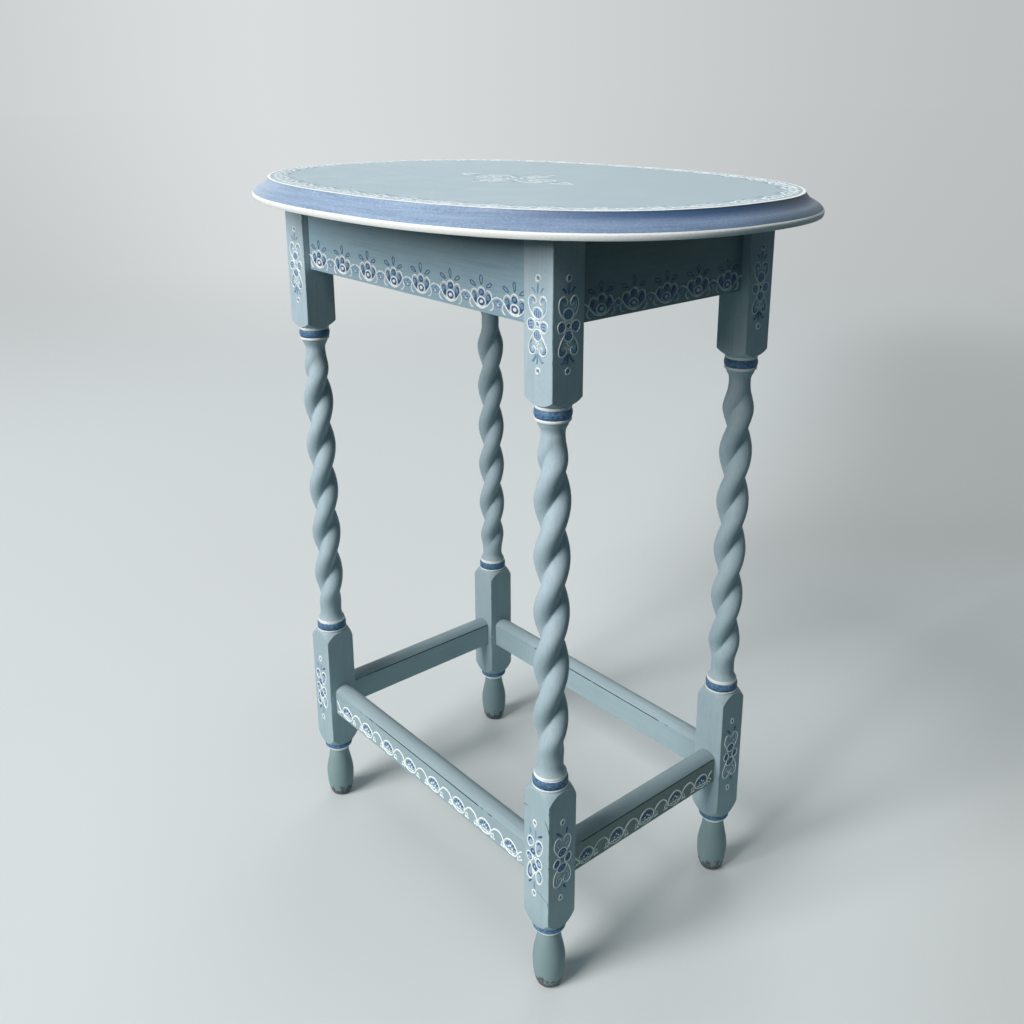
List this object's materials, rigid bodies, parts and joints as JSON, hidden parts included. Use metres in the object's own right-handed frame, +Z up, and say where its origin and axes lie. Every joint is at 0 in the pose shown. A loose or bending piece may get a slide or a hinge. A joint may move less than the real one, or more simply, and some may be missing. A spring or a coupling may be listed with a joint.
{
  "type": "barley twist side table",
  "caption": "Small oblong side table on twisted legs: moulded top, apron rails, square leg blocks, pear feet and a low box of stretchers, in painted wood.",
  "frame": {"origin": "on the floor, under the middle of the top", "axes": "+Z up, X along the top's length, +Y towards the back, so that the pictured corner is at +X, -Y"},
  "size_m": [0.594, 0.424, 0.73],
  "materials": {
    "painted_wood": "grey-blue chalk paint over oak, brushed, with raised blue and cream folk scrollwork, worn at edges",
    "painted_top": "chalk paint with a cornflower-blue moulded edge and a cream scroll border",
    "raw_beech": "unfinished turned dowel",
    "raw_oak": "unfinished sawn block",
    "steel": "dull countersunk wood screw"
  },
  "bodies": {
    "root": {"top": "painted_top", "leg_back_left": "painted_wood", "leg_back_right": "painted_wood", "leg_front_left": "painted_wood", "leg_front_right": "painted_wood", "apron_back": "painted_wood", "apron_front": "painted_wood", "apron_left": "painted_wood", "apron_right": "painted_wood", "stretcher_back": "painted_wood", "stretcher_front": "painted_wood", "stretcher_left": "painted_wood", "stretcher_right": "painted_wood", "corner_block_back_left": "raw_oak", "corner_block_back_right": "raw_oak", "corner_block_front_left": "raw_oak", "corner_block_front_right": "raw_oak", "top_screw_back_left": "steel", "top_screw_back_right": "steel", "top_screw_front_left": "steel", "top_screw_front_right": "steel", "apron_back_dowel_left_lower": "raw_beech", "apron_back_dowel_left_upper": "raw_beech", "apron_back_dowel_right_lower": "raw_beech", "apron_back_dowel_right_upper": "raw_beech", "apron_front_dowel_left_lower": "raw_beech", "apron_front_dowel_left_upper": "raw_beech", "apron_front_dowel_right_lower": "raw_beech", "apron_front_dowel_right_upper": "raw_beech", "apron_left_dowel_back_lower": "raw_beech", "apron_left_dowel_back_upper": "raw_beech", "apron_left_dowel_front_lower": "raw_beech", "apron_left_dowel_front_upper": "raw_beech", "apron_right_dowel_back_lower": "raw_beech", "apron_right_dowel_back_upper": "raw_beech", "apron_right_dowel_front_lower": "raw_beech", "apron_right_dowel_front_upper": "raw_beech"}
  },
  "joints": []
}
